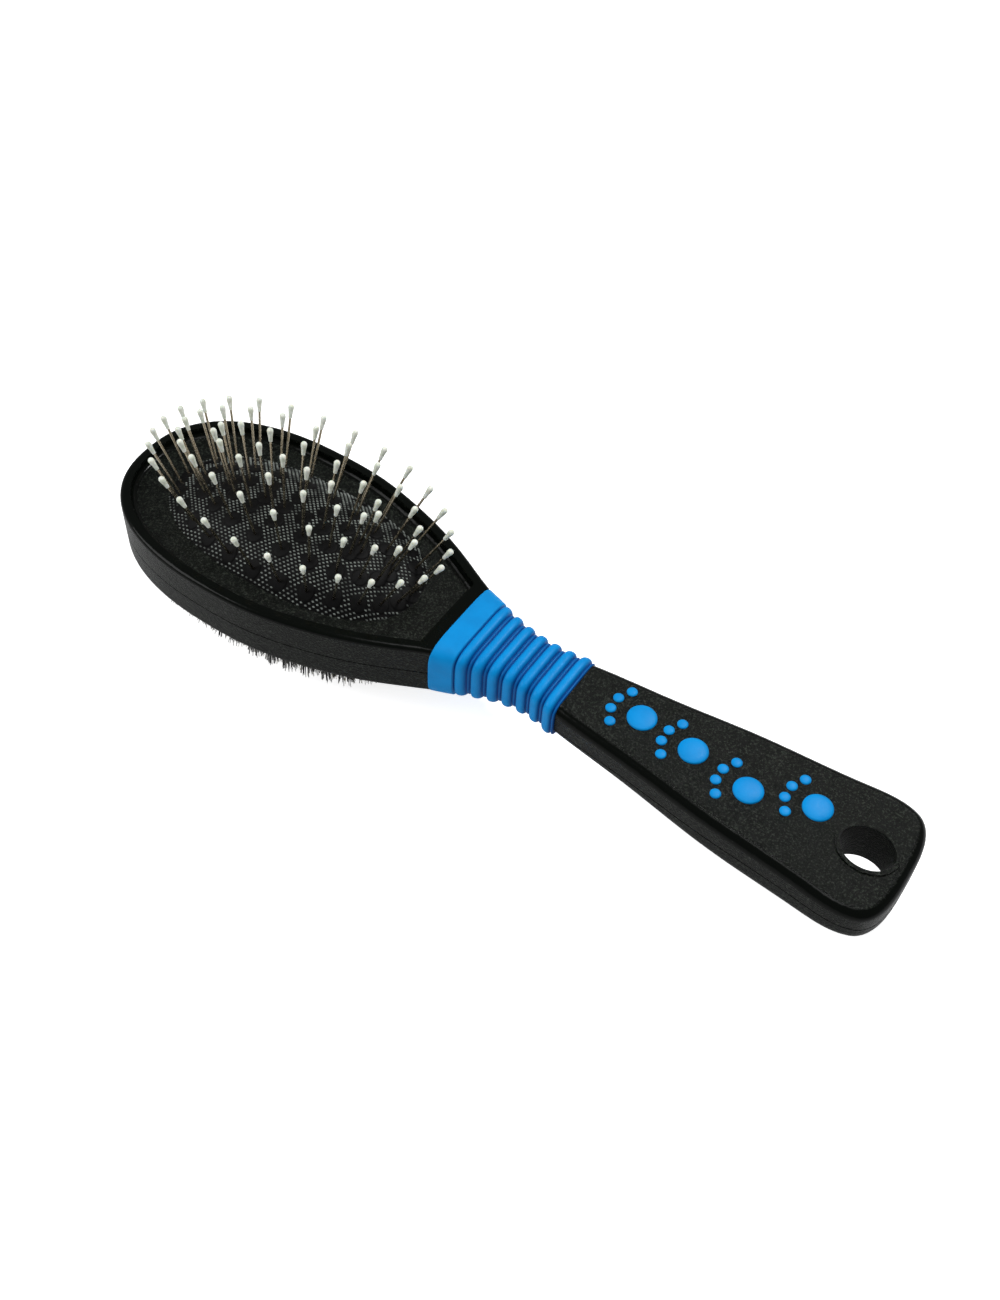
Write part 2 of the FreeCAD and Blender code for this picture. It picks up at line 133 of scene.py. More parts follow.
# ---- Shells, bristle plate and cushion base ----------------------------------------------
# Two black polypropylene halves, injection moulded and welded along the parting line. The flat
# faces and walls carry the mould's spark grain; the rim band and the rounded edges are polished.
def new_finish(name, colour, roughness):
    """A principled material, with its node tree and shader, for one kind of surface."""
    material = bpy.data.materials.new(name)
    material.use_nodes = True
    shader = material.node_tree.nodes["Principled BSDF"]
    shader.inputs["Base Color"].default_value = (*colour, 1)
    shader.inputs["Roughness"].default_value = roughness
    return material, material.node_tree, shader


def math_node(shading, operation, *values):
    node = shading.nodes.new("ShaderNodeMath")
    node.operation = operation
    for socket, value in zip(node.inputs, values):
        if isinstance(value, (int, float)):
            socket.default_value = value
        else:
            shading.links.new(value, socket)
    return node.outputs[0]


def ramp(shading, value, low, high, to_low=0.0, to_high=1.0):
    node = shading.nodes.new("ShaderNodeMapRange")
    node.interpolation_type = "SMOOTHSTEP"
    shading.links.new(value, node.inputs["Value"])
    node.inputs["From Min"].default_value = low
    node.inputs["From Max"].default_value = high
    node.inputs["To Min"].default_value = to_low
    node.inputs["To Max"].default_value = to_high
    return node.outputs["Result"]


def noise(shading, size, detail=2.0, roughness=0.5):
    """Noise with features of about that size in metres, in the object's own coordinates."""
    coordinates = shading.nodes.new("ShaderNodeTexCoord")
    node = shading.nodes.new("ShaderNodeTexNoise")
    node.inputs["Scale"].default_value = 1.0 / size
    node.inputs["Detail"].default_value = detail
    node.inputs["Roughness"].default_value = roughness
    shading.links.new(coordinates.outputs["Object"], node.inputs["Vector"])
    return node.outputs["Fac"]


def bump(shading, height, strength, distance, shader):
    node = shading.nodes.new("ShaderNodeBump")
    node.inputs["Distance"].default_value = distance
    shading.links.new(height, node.inputs["Height"])
    if isinstance(strength, (int, float)):
        node.inputs["Strength"].default_value = strength
    else:
        shading.links.new(strength, node.inputs["Strength"])
    shading.links.new(node.outputs["Normal"], shader.inputs["Normal"])


rim_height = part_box("upper_shell")[1].z
grain_top = rim_height - 1.2 * mm
polish_start = rim_height - 0.5 * mm
sleeve_low, sleeve_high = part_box("grip_sleeve")

shell_black, plastic, shell_shader = new_finish("grained_black_plastic", (0.011, 0.012, 0.011), 0.5)
shell_shader.inputs["IOR"].default_value = 1.20
facing = plastic.nodes.new("ShaderNodeNewGeometry")
facing_parts = plastic.nodes.new("ShaderNodeSeparateXYZ")
plastic.links.new(facing.outputs["Normal"], facing_parts.inputs[0])
place = plastic.nodes.new("ShaderNodeTexCoord")
place_parts = plastic.nodes.new("ShaderNodeSeparateXYZ")
plastic.links.new(place.outputs["Object"], place_parts.inputs[0])
up_facing = ramp(plastic, facing_parts.outputs["Z"], 0.93, 0.995)
side_facing = ramp(plastic, facing_parts.outputs["Z"], 0.08, 0.22, 1.0, 0.0)
below_rim = ramp(plastic, place_parts.outputs["Z"], grain_top, polish_start, 1.0, 0.0)
grained_top = math_node(plastic, "MULTIPLY", up_facing, below_rim)
grain_mask = math_node(plastic, "MAXIMUM", grained_top, side_facing)
fine_grain = noise(plastic, 0.55 * mm, 3.0, 0.75)
coarse_grain = noise(plastic, 2.2 * mm, 2.0)
grain_height = math_node(plastic, "ADD", fine_grain, math_node(plastic, "MULTIPLY", coarse_grain, 0.25))
grain_strength = math_node(plastic, "MULTIPLY", grain_mask, 0.85)
bump(plastic, grain_height, grain_strength, 0.30 * mm, shell_shader)
shell_rough = math_node(plastic, "MULTIPLY_ADD", grain_mask, 0.14, 0.16)
plastic.links.new(shell_rough, shell_shader.inputs["Roughness"])
# Painted glint: the peaks of the grain on the grained faces are tinted grey-green over the black, standing in
# for the sparkle of light on the grain.
shell_glint_tint = plastic.nodes.new("ShaderNodeMix")
shell_glint_tint.data_type = "RGBA"
shell_glint_tint.inputs["A"].default_value = (0.0012, 0.0020, 0.0012, 1)
shell_glint_tint.inputs["B"].default_value = (0.030, 0.036, 0.028, 1)
painted_glint_specks = ramp(plastic, fine_grain, 0.50, 0.66)
plastic.links.new(math_node(plastic, "MULTIPLY", painted_glint_specks, grain_mask), shell_glint_tint.inputs["Factor"])
plastic.links.new(shell_glint_tint.outputs["Result"], shell_shader.inputs["Base Color"])

for name in ("upper_shell", "lower_shell", "cushion_base", "bristle_plate"):
    nodes[name].data.materials.clear()
    nodes[name].data.materials.append(shell_black)


# ---- Grip sleeve --------------------------------------------------------------------------
# Blue thermoplastic rubber moulded over the neck: a plain band at the head, then seven rounded
# ribs with a thin ridge in each valley. It follows the shells' rounded-rectangle section.
band_length = 6.0 * mm
rib_pitch = 4.0 * mm
rib_width = 2.7 * mm
rib_height = 0.95 * mm
ridge_width = 0.8 * mm
ridge_height = 0.28 * mm
rib_start = sleeve_low.x + band_length + 0.35 * mm
rib_count = 7
around_steps = 112
along_steps = 272
lining_steps = 24
edge_round = 0.45 * mm
rubber_thickness = 1.95 * mm
section_corner = 4.6            # exponent of the rounded-rectangle section
rib_fullness = 2.4              # exponent of a rib's rounded crest
crest_offset = 1.35 * mm        # from a rib's edge to its crest
crest_window = 1.45 * mm


def rubber_finish(name, light, dark):
    """Satin rubber: a soft colour drift, fine pores, and painted shade, darker where the piece's stored shade
    is low.
    """
    material, satin, shader = new_finish(name, light, 0.42)
    shader.inputs["IOR"].default_value = 1.22
    shade = satin.nodes.new("ShaderNodeAttribute")
    shade.attribute_name = "shade"
    drift = ramp(satin, noise(satin, 5 * mm, 3.0), 0.3, 0.7, 0.86, 1.0)
    level = math_node(satin, "MULTIPLY", shade.outputs["Fac"], drift)
    tint = satin.nodes.new("ShaderNodeMix")
    tint.data_type = "RGBA"
    tint.inputs["A"].default_value = (*dark, 1)
    tint.inputs["B"].default_value = (*light, 1)
    satin.links.new(level, tint.inputs["Factor"])
    satin.links.new(tint.outputs["Result"], shader.inputs["Base Color"])
    pores = noise(satin, 0.35 * mm, 3.0, 0.6)
    bump(satin, pores, 0.35, 0.05 * mm, shader)
    satin.links.new(ramp(satin, pores, 0.35, 0.65, 0.36, 0.50), shader.inputs["Roughness"])
    return material


# The second colour is the painted shade that the sleeve's rib valleys sink to.
blue_rubber = rubber_finish("blue_rubber", (0.0, 0.27, 0.68), (0.0, 0.040, 0.22))


def mesh_piece(name, vertices, faces, material, smooth=True):
    mesh = bpy.data.meshes.new(name)
    mesh.from_pydata([tuple(v) for v in vertices], [], faces)
    mesh.materials.append(material)
    if smooth:
        mesh.shade_smooth()
    piece = bpy.data.objects.new(name, mesh)
    scene.collection.objects.link(piece)
    return piece


def store_shade(piece, values):
    shade = piece.data.attributes.new("shade", "FLOAT", "POINT")
    shade.data.foreach_set("value", np.asarray(values, np.float32))


sleeve_points = np.array([v.co for v in nodes["grip_sleeve"].data.vertices])
stations = [sleeve_low.x, sleeve_low.x + band_length]
stations += [rib_start + rib * rib_pitch + crest_offset for rib in range(rib_count)]
sections = []
for station in stations:
    near = sleeve_points[np.abs(sleeve_points[:, 0] - station) < crest_window]
    sections.append((near[:, 1].max(), near[:, 2].max(), near[:, 2].min()))
sections = np.array(sections)
half_width_fit = np.polyfit(stations, sections[:, 0], 4)
top_fit = np.polyfit(stations, sections[:, 1], 2)
bottom_fit = np.polyfit(stations, sections[:, 2], 3)


def rib_level(x):
    """How far the surface lies below the crests, at x."""
    if x < sleeve_low.x + band_length:
        return 0.0
    phase = (x - rib_start) % rib_pitch
    if phase < rib_width:
        across = (phase - rib_width / 2) / (rib_width / 2)
        return rib_height * (1 - (1 - abs(across) ** rib_fullness) ** 0.5)
    across = (phase - (rib_pitch + rib_width) / 2) / (ridge_width / 2)
    return rib_height - ridge_height * max(0.0, 1 - across ** 2) ** 0.5


def section_ring(x, sink):
    """One rounded-rectangle ring round the neck, sunk below the crests."""
    half = np.polyval(half_width_fit, x) - sink
    high = np.polyval(top_fit, x) - sink
    low = np.polyval(bottom_fit, x) + sink
    middle = (high + low) / 2
    tall = (high - low) / 2
    ring = []
    for step in range(around_steps):
        angle = 2 * math.pi * step / around_steps
        power = 2 / section_corner
        side = math.copysign(abs(math.cos(angle)) ** power, math.cos(angle))
        rise = math.copysign(abs(math.sin(angle)) ** power, math.sin(angle))
        ring.append((x, half * side, middle + tall * rise))
    return ring


sleeve_vertices = []
sleeve_painted_shade = []
rings = []
for step in range(along_steps + 1):
    x = sleeve_low.x + (sleeve_high.x - sleeve_low.x) * step / along_steps
    end_gap = min(x - sleeve_low.x, sleeve_high.x - x)
    rounding = edge_round - math.sqrt(max(0.0, edge_round ** 2 - max(0.0, edge_round - end_gap) ** 2))
    rings.append((x, rib_level(x) + rounding))
for step in range(lining_steps + 1):
    rings.append((sleeve_high.x + (sleeve_low.x - sleeve_high.x) * step / lining_steps, rubber_thickness))
for x, sink in rings:
    sleeve_vertices += section_ring(x, sink)
    # Painted shade: the rubber darkens with depth below the crests, so the rib valleys, the rounded ends and
    # the hidden lining are painted darker.
    sleeve_painted_shade += [1.0 - 0.95 * min(1.0, sink / rib_height)] * around_steps
sleeve_faces = []
ring_total = len(rings)
for ring in range(ring_total):
    after = (ring + 1) % ring_total
    for step in range(around_steps):
        beside = (step + 1) % around_steps
        sleeve_faces.append((ring * around_steps + step, ring * around_steps + beside,
                             after * around_steps + beside, after * around_steps + step))
sleeve = mesh_piece("ribbed_sleeve", sleeve_vertices, sleeve_faces, blue_rubber)
store_shade(sleeve, sleeve_painted_shade)
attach(sleeve, "brush_body")
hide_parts("grip_sleeve")


# ---- Paw prints ---------------------------------------------------------------------------
# The same blue rubber, shot through holes in the upper shell: a domed pad and four domed toes,
# each standing a little proud of the grained face.
pad_radius = 3.7 * mm
toe_radius = 1.35 * mm
toe_reach = 7.8 * mm
toe_angles = (138.0, 166.5, 193.5, 222.0)
dome_rise = 0.75 * mm
dome_steps = 40
dome_rings = 9

tree = bpy.data.node_groups.new("rubber_domes", "GeometryNodeTree")
tree.interface.new_socket("Geometry", in_out="OUTPUT", socket_type="NodeSocketGeometry")
for socket_name, socket_type in (("Geometry", "Geometry"), ("Dome", "Object"), ("Material", "Material")):
    tree.interface.new_socket(socket_name, in_out="INPUT", socket_type="NodeSocket" + socket_type)
entry = tree.nodes.new("NodeGroupInput")
leave = tree.nodes.new("NodeGroupOutput")
dome_info = tree.nodes.new("GeometryNodeObjectInfo")
spot_radius = tree.nodes.new("GeometryNodeInputNamedAttribute")
spot_radius.data_type = "FLOAT_VECTOR"
spot_radius.inputs["Name"].default_value = "spot_size"
spots = tree.nodes.new("GeometryNodeInstanceOnPoints")
solid = tree.nodes.new("GeometryNodeRealizeInstances")
paint = tree.nodes.new("GeometryNodeSetMaterial")
tree.links.new(entry.outputs["Geometry"], spots.inputs["Points"])
tree.links.new(entry.outputs["Dome"], dome_info.inputs["Object"])
tree.links.new(dome_info.outputs["Geometry"], spots.inputs["Instance"])
tree.links.new(spot_radius.outputs["Attribute"], spots.inputs["Scale"])
tree.links.new(spots.outputs["Instances"], solid.inputs["Geometry"])
tree.links.new(solid.outputs["Geometry"], paint.inputs["Geometry"])
tree.links.new(entry.outputs["Material"], paint.inputs["Material"])
tree.links.new(paint.outputs["Geometry"], leave.inputs["Geometry"])
rubber_domes = tree

dome_vertices = [(0, 0, 1)]
for ring in range(1, dome_rings + 1):
    angle = math.pi / 2 * ring / dome_rings
    for step in range(dome_steps):
        turn = 2 * math.pi * step / dome_steps
        out = math.sin(angle) ** 0.8
        dome_vertices.append((out * math.cos(turn), out * math.sin(turn), math.cos(angle) ** 0.75))
last_ring = 1 + (dome_rings - 1) * dome_steps
for step in range(dome_steps):
    x, y, z = dome_vertices[last_ring + step]
    dome_vertices.append((x, y, -1.2))
dome_vertices.append((0, 0, -1.2))
dome_faces = [(0, 1 + step, 1 + (step + 1) % dome_steps) for step in range(dome_steps)]
for ring in range(dome_rings):
    for step in range(dome_steps):
        a = 1 + ring * dome_steps + step
        b = 1 + ring * dome_steps + (step + 1) % dome_steps
        dome_faces.append((a, a + dome_steps, b + dome_steps, b))
foot_ring = 1 + dome_rings * dome_steps
for step in range(dome_steps):
    dome_faces.append((foot_ring + step, len(dome_vertices) - 1, foot_ring + (step + 1) % dome_steps))
unit_dome = mesh_piece("unit_dome", dome_vertices, dome_faces, blue_rubber)


def run_tree(piece, tree, values):
    """Runs a geometry tree on a piece and leaves a plain mesh, with no modifier on it."""
    modifier = piece.modifiers.new("tree", "NODES")
    modifier.node_group = tree
    for socket in tree.interface.items_tree:
        if socket.in_out == "INPUT" and socket.name in values:
            modifier[socket.identifier] = values[socket.name]
    bpy.context.view_layer.update()
    evaluated = piece.evaluated_get(bpy.context.evaluated_depsgraph_get())
    mesh = bpy.data.meshes.new_from_object(evaluated)
    piece.modifiers.remove(modifier)
    piece.data = mesh
    return piece


slope = math.tan(math.radians(0.75))
handle_top = rim_height - 1.5 * mm
for number in range(1, 5):
    low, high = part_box(f"paw_print_{number}")
    pad = Vector((high.x - pad_radius, (low.y + high.y) / 2, 0))
    spots_list = [(pad.x, pad.y, pad_radius)]
    for angle in toe_angles:
        turn = math.radians(angle)
        toe_x = pad.x + toe_reach * math.cos(turn)
        toe_y = pad.y + toe_reach * math.sin(turn)
        spots_list.append((toe_x, toe_y, toe_radius))
    places = [(x, y, handle_top - slope * (x - sleeve_high.x)) for x, y, radius in spots_list]
    paw = mesh_piece(f"paw_{number}", places, [], blue_rubber)
    sizes = paw.data.attributes.new("spot_size", "FLOAT_VECTOR", "POINT")
    for index, (x, y, radius) in enumerate(spots_list):
        rise = dome_rise if radius == pad_radius else 0.62 * dome_rise
        sizes.data[index].vector = (radius, radius, rise)
    run_tree(paw, rubber_domes, {"Dome": unit_dome, "Material": blue_rubber})
    paw.data.shade_smooth()
    store_shade(paw, np.ones(len(paw.data.vertices)))
    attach(paw, "brush_body")
    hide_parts(f"paw_print_{number}")
bpy.data.objects.remove(unit_dome)


# ---- Air cushion --------------------------------------------------------------------------
# A black rubber dome, moulded with a fine woven emboss and a smooth round boss at each pin. Its
# edge is clamped under the shell, so it flattens towards the dish when the pins are pressed.
flange_reach = 3.5 * mm
dish_depth = 2.6 * mm
dome_power = 3.0
oval_power = 2.35
cushion_low, cushion_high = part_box("pin_cushion")
cushion_centre = (cushion_low.x + cushion_high.x) / 2
cushion_half = Vector(((cushion_high.x - cushion_low.x) / 2 - flange_reach,
                       (cushion_high.y - cushion_low.y) / 2 - flange_reach))
dish_height = rim_height - dish_depth
crown_height = cushion_high.z
boss_radius = 2.1 * mm
boss_rise = 0.20 * mm
cell_pitch = 0.96 * mm
cell_width = 0.60 * mm
cell_length = 0.93 * mm
cell_rise = 0.26 * mm
pin_rings = [(0.955, 0.88, 28), (0.784, 0.55, 22), (0.553, 0.256, 15), (0.245, 0.0, 4)]


def oval_reach(x, y):
    along = abs(x - cushion_centre) / cushion_half.x
    across = abs(y) / cushion_half.y
    return (along ** oval_power + across ** oval_power) ** (1 / oval_power)


def dome_z(x, y):
    return dish_height + (crown_height - dish_height) * (1 - min(oval_reach(x, y), 1.0) ** dome_power)


pin_feet = []
for length_share, width_share, count in pin_rings:
    for step in range(count):
        turn = 2 * math.pi * step / count
        if width_share == 0:
            x = cushion_centre + 2 * cushion_half.x * length_share * (step / (count - 1) - 0.5)
            y = 0.0
        else:
            x = cushion_centre + cushion_half.x * length_share * math.cos(turn)
            y = cushion_half.y * width_share * math.sin(turn)
        pin_feet.append(Vector((x, y, dome_z(x, y))))

skin_vertices = [(cushion_centre, 0, dome_z(cushion_centre, 0))]
skin_rings = 72
skin_steps = 180
for ring in range(1, skin_rings + 1):
    reach = ring / skin_rings
    for step in range(skin_steps):
        turn = 2 * math.pi * step / skin_steps
        along = math.copysign(abs(math.cos(turn)) ** (2 / oval_power), math.cos(turn))
        across = math.copysign(abs(math.sin(turn)) ** (2 / oval_power), math.sin(turn))
        x = cushion_centre + cushion_half.x * reach * along
        y = cushion_half.y * reach * across
        skin_vertices.append((x, y, dome_z(x, y)))
skin_faces = [(0, 1 + step, 1 + (step + 1) % skin_steps) for step in range(skin_steps)]
for ring in range(skin_rings - 1):
    for step in range(skin_steps):
        a = 1 + ring * skin_steps + step
        b = 1 + ring * skin_steps + (step + 1) % skin_steps
        skin_faces.append((a, a + skin_steps, b + skin_steps, b))

boss_steps = 28
boss_profile = ((0.0, 1.0), (0.45, 1.0), (0.82, 1.0), (0.93, 0.8), (1.0, 0.3), (1.02, -0.6))
for foot in pin_feet:
    start = len(skin_vertices)
    skin_vertices.append((foot.x, foot.y, foot.z + boss_rise))
    for reach, rise in boss_profile[1:]:
        for step in range(boss_steps):
            turn = 2 * math.pi * step / boss_steps
            x = foot.x + boss_radius * reach * math.cos(turn)
            y = foot.y + boss_radius * reach * math.sin(turn)
            skin_vertices.append((x, y, dome_z(x, y) + boss_rise * rise))
    for step in range(boss_steps):
        skin_faces.append((start, start + 1 + step, start + 1 + (step + 1) % boss_steps))
    for ring in range(len(boss_profile) - 2):
        for step in range(boss_steps):
            a = start + 1 + ring * boss_steps + step
            b = start + 1 + ring * boss_steps + (step + 1) % boss_steps
            skin_faces.append((a, a + boss_steps, b + boss_steps, b))

black_rubber, rubber, rubber_shader = new_finish("black_rubber", (0.012, 0.013, 0.012), 0.34)
rubber_shader.inputs["IOR"].default_value = 1.2
raised = rubber.nodes.new("ShaderNodeAttribute")
raised.attribute_name = "raised"
# Painted highlight and shade: the weave cells are painted pale grey, brightest on their crests and black at
# their feet and on the skin between them, in soft patches.
highlight_patch_noise = noise(rubber, 3.0 * mm, 3.0)
pores = noise(rubber, 0.25 * mm, 2.0)
crest_highlight_tint = rubber.nodes.new("ShaderNodeMix")
crest_highlight_tint.data_type = "RGBA"
crest_highlight_tint.inputs["A"].default_value = (0.002, 0.002, 0.002, 1)
crest_highlight_tint.inputs["B"].default_value = (0.24, 0.265, 0.245, 1)
painted_highlight_patches = ramp(rubber, highlight_patch_noise, 0.30, 0.62, 0.25, 1.0)
painted_crest_highlight = math_node(rubber, "MULTIPLY", painted_highlight_patches, raised.outputs["Fac"])
rubber.links.new(painted_crest_highlight, crest_highlight_tint.inputs["Factor"])
rubber.links.new(crest_highlight_tint.outputs["Result"], rubber_shader.inputs["Base Color"])
rubber_gloss = ramp(rubber, raised.outputs["Fac"], 0.0, 1.0, 0.55, 0.28)
rubber.links.new(rubber_gloss, rubber_shader.inputs["Roughness"])
bump(rubber, pores, 0.1, 0.02 * mm, rubber_shader)

cushion = mesh_piece("cushion_dome", skin_vertices, skin_faces, black_rubber)
cell_levels = ((-0.25, 0.5), (0.55, 0.44), (1.0, 0.24))
cell_vertices = []
for z, half in cell_levels:
    cell_vertices += [(half, 0, z), (0, half, z), (-half, 0, z), (0, -half, z)]
cell_faces = [(0, 1, 5, 4), (1, 2, 6, 5), (2, 3, 7, 6), (3, 0, 4, 7), (4, 5, 9, 8), (5, 6, 10, 9),
              (6, 7, 11, 10), (7, 4, 8, 11), (8, 9, 10, 11)]
cell = mesh_piece("weave_cell", cell_vertices, cell_faces, black_rubber, False)
# The crest value rises from a cell's foot to its top; the rubber paints the cell paler by it, a painted
# highlight.
crest = cell.data.attributes.new("crest", "FLOAT", "POINT")
crest.data.foreach_set("value", [0.0] * 4 + [0.8] * 4 + [1.0] * 4)
feet_piece = mesh_piece("pin_feet", pin_feet, [], black_rubber)

tree = bpy.data.node_groups.new("embossed_weave", "GeometryNodeTree")
tree.interface.new_socket("Geometry", in_out="OUTPUT", socket_type="NodeSocketGeometry")
for socket_name, socket_type in (("Geometry", "Geometry"), ("Cell", "Object"), ("Feet", "Object"),
                                 ("Length", "Float"), ("Pitch", "Float"), ("Centre", "Vector"),
                                 ("Boss Radius", "Float"), ("Cell Size", "Vector"), ("Material", "Material")):
    tree.interface.new_socket(socket_name, in_out="INPUT", socket_type="NodeSocket" + socket_type)
entry = tree.nodes.new("NodeGroupInput")
leave = tree.nodes.new("NodeGroupOutput")


def tree_math(operation, first, second=None):
    node = tree.nodes.new("ShaderNodeMath")
    node.operation = operation
    for socket, value in zip(node.inputs, (first, second)):
        if isinstance(value, (int, float)):
            socket.default_value = value
        elif value is not None:
            tree.links.new(value, socket)
    return node.outputs[0]


lattice = tree.nodes.new("GeometryNodeMeshGrid")
count_along = tree_math("ADD", tree_math("FLOOR", tree_math("DIVIDE", entry.outputs["Length"],
                                                           entry.outputs["Pitch"])), 1)
tree.links.new(entry.outputs["Length"], lattice.inputs["Size X"])
tree.links.new(entry.outputs["Length"], lattice.inputs["Size Y"])
tree.links.new(count_along, lattice.inputs["Vertices X"])
tree.links.new(count_along, lattice.inputs["Vertices Y"])
lay = tree.nodes.new("GeometryNodeTransform")
lay.inputs["Rotation"].default_value = (0, 0, math.radians(45))
tree.links.new(lattice.outputs["Mesh"], lay.inputs["Geometry"])
tree.links.new(entry.outputs["Centre"], lay.inputs["Translation"])
drop = tree.nodes.new("GeometryNodeRaycast")
drop.data_type = "FLOAT"
tree.links.new(entry.outputs["Geometry"], drop.inputs["Target Geometry"])
drop.inputs["Ray Direction"].default_value = (0, 0, -1)
drop.inputs["Ray Length"].default_value = 0.1
missed = tree.nodes.new("FunctionNodeBooleanMath")
missed.operation = "NOT"
tree.links.new(drop.outputs["Is Hit"], missed.inputs[0])
feet_info = tree.nodes.new("GeometryNodeObjectInfo")
tree.links.new(entry.outputs["Feet"], feet_info.inputs["Object"])
keep_normal = tree.nodes.new("GeometryNodeStoreNamedAttribute")
keep_normal.data_type = "FLOAT_VECTOR"
keep_normal.inputs["Name"].default_value = "out"
tree.links.new(lay.outputs["Geometry"], keep_normal.inputs["Geometry"])
tree.links.new(drop.outputs["Hit Normal"], keep_normal.inputs["Value"])
trim = tree.nodes.new("GeometryNodeDeleteGeometry")
tree.links.new(keep_normal.outputs["Geometry"], trim.inputs["Geometry"])
tree.links.new(missed.outputs[0], trim.inputs["Selection"])
seat = tree.nodes.new("GeometryNodeSetPosition")
tree.links.new(trim.outputs["Geometry"], seat.inputs["Geometry"])
tree.links.new(drop.outputs["Hit Position"], seat.inputs["Position"])
feet_gap = tree.nodes.new("GeometryNodeProximity")
feet_gap.target_element = "POINTS"
tree.links.new(feet_info.outputs["Geometry"], feet_gap.inputs["Geometry"])
clear = tree.nodes.new("GeometryNodeDeleteGeometry")
tree.links.new(seat.outputs["Geometry"], clear.inputs["Geometry"])
tree.links.new(tree_math("LESS_THAN", feet_gap.outputs["Distance"], entry.outputs["Boss Radius"]),
               clear.inputs["Selection"])
out_normal = tree.nodes.new("GeometryNodeInputNamedAttribute")
out_normal.data_type = "FLOAT_VECTOR"
out_normal.inputs["Name"].default_value = "out"
aim = tree.nodes.new("FunctionNodeAlignRotationToVector")
aim.axis = "Z"
tree.links.new(out_normal.outputs["Attribute"], aim.inputs["Vector"])
cell_info = tree.nodes.new("GeometryNodeObjectInfo")
tree.links.new(entry.outputs["Cell"], cell_info.inputs["Object"])
cells = tree.nodes.new("GeometryNodeInstanceOnPoints")
tree.links.new(clear.outputs["Geometry"], cells.inputs["Points"])
tree.links.new(cell_info.outputs["Geometry"], cells.inputs["Instance"])
tree.links.new(aim.outputs["Rotation"], cells.inputs["Rotation"])
tree.links.new(entry.outputs["Cell Size"], cells.inputs["Scale"])
real = tree.nodes.new("GeometryNodeRealizeInstances")
tree.links.new(cells.outputs["Instances"], real.inputs["Geometry"])
both = tree.nodes.new("GeometryNodeJoinGeometry")
# The cells keep their crest value as raised, which the rubber uses for gloss and for its painted crest
# highlight.
mark = tree.nodes.new("GeometryNodeStoreNamedAttribute")
mark.data_type = "FLOAT"
mark.inputs["Name"].default_value = "raised"
tree.links.new(real.outputs["Geometry"], mark.inputs["Geometry"])
mark_height = tree.nodes.new("GeometryNodeInputNamedAttribute")
mark_height.data_type = "FLOAT"
mark_height.inputs["Name"].default_value = "crest"
tree.links.new(mark_height.outputs["Attribute"], mark.inputs["Value"])
tree.links.new(mark.outputs["Geometry"], both.inputs["Geometry"])
tree.links.new(entry.outputs["Geometry"], both.inputs["Geometry"])
paint = tree.nodes.new("GeometryNodeSetMaterial")
tree.links.new(both.outputs["Geometry"], paint.inputs["Geometry"])
tree.links.new(entry.outputs["Material"], paint.inputs["Material"])
tree.links.new(paint.outputs["Geometry"], leave.inputs["Geometry"])

run_tree(cushion, tree, {"Cell": cell, "Feet": feet_piece, "Length": 2 * cushion_half.x * 1.1,
                         "Pitch": cell_pitch, "Centre": (cushion_centre, 0, crown_height + 0.01),
                         "Boss Radius": boss_radius + 0.25 * mm,
                         "Cell Size": (cell_length, cell_width, cell_rise),
                         "Material": black_rubber})
bpy.data.objects.remove(cell)
bpy.data.objects.remove(feet_piece)
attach(cushion, "brush_body")
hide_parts("pin_cushion")
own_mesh(cushion)


# ---- Pins ---------------------------------------------------------------------------------
# Drawn steel wire, cut and headed, pushed through the cushion from inside. Each ends in a drop of
# off-white plastic moulded on so that it can't scratch.
pin_steel, steel, steel_shader = new_finish("pin_steel", (0.46, 0.42, 0.34), 0.22)
steel_shader.inputs["Metallic"].default_value = 1.0
drawn = noise(steel, 0.6 * mm, 3.0)
steel_tint = steel.nodes.new("ShaderNodeMix")
steel_tint.data_type = "RGBA"
steel_tint.inputs["A"].default_value = (0.42, 0.36, 0.26, 1)
steel_tint.inputs["B"].default_value = (0.56, 0.50, 0.38, 1)
steel.links.new(ramp(steel, drawn, 0.35, 0.65), steel_tint.inputs["Factor"])
steel.links.new(steel_tint.outputs["Result"], steel_shader.inputs["Base Color"])
steel.links.new(ramp(steel, drawn, 0.3, 0.7, 0.16, 0.30), steel_shader.inputs["Roughness"])

tip_white, tip, tip_shader = new_finish("tip_plastic", (0.80, 0.83, 0.73), 0.35)
tip_shader.inputs["Subsurface Weight"].default_value = 0.25
tip_shader.inputs["Subsurface Radius"].default_value = (0.0006, 0.0005, 0.0004)
tip_shader.inputs["Subsurface Scale"].default_value = 1.0
tip_cloud = noise(tip, 1.0 * mm, 2.0)
tip_tint = tip.nodes.new("ShaderNodeMix")
tip_tint.data_type = "RGBA"
tip_tint.inputs["A"].default_value = (0.70, 0.74, 0.62, 1)
tip_tint.inputs["B"].default_value = (0.86, 0.88, 0.80, 1)
tip.links.new(ramp(tip, tip_cloud, 0.35, 0.65), tip_tint.inputs["Factor"])
tip.links.new(tip_tint.outputs["Result"], tip_shader.inputs["Base Color"])

for number in range(1, 5):
    for name, finish in ((f"pin_ring_{number}", pin_steel), (f"pin_tips_{number}", tip_white)):
        nodes[name].data.materials.clear()
        nodes[name].data.materials.append(finish)


